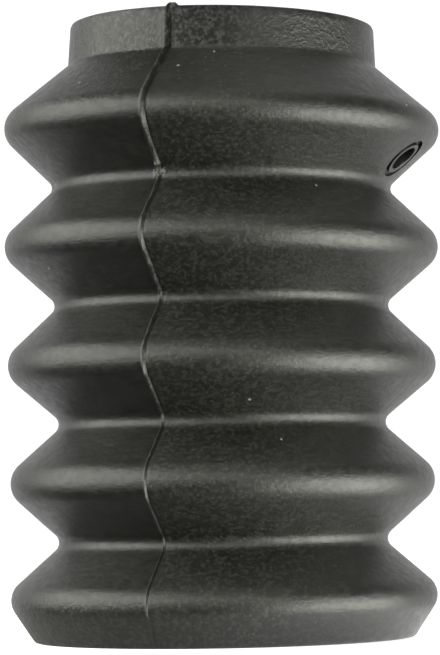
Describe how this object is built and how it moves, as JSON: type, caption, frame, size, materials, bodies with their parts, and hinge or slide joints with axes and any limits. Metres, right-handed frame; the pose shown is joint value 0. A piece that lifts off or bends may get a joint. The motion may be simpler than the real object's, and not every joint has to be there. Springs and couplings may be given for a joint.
{
  "type": "bellows boot",
  "caption": "Rubber bellows boot, open at both ends, with a plain collar, rounded folds, an air vent and a moulded parting line. It keeps dirt off a sliding shaft or tube.",
  "frame": {"origin": "on the bellows' axis, at the flat end of the open mouth, which is the lowest plane of the boot", "axes": "+Z along the bellows' axis from the mouth to the collar; -Y towards the front, with the front parting line 20 degrees to the left of it; the vent looks towards +X, 20 degrees round to the front"},
  "size_m": [0.0954, 0.0954, 0.1349],
  "materials": {
    "rubber": "satin, as moulded"
  },
  "bodies": {
    "root": {"bellows_boot": "rubber"}
  },
  "joints": []
}
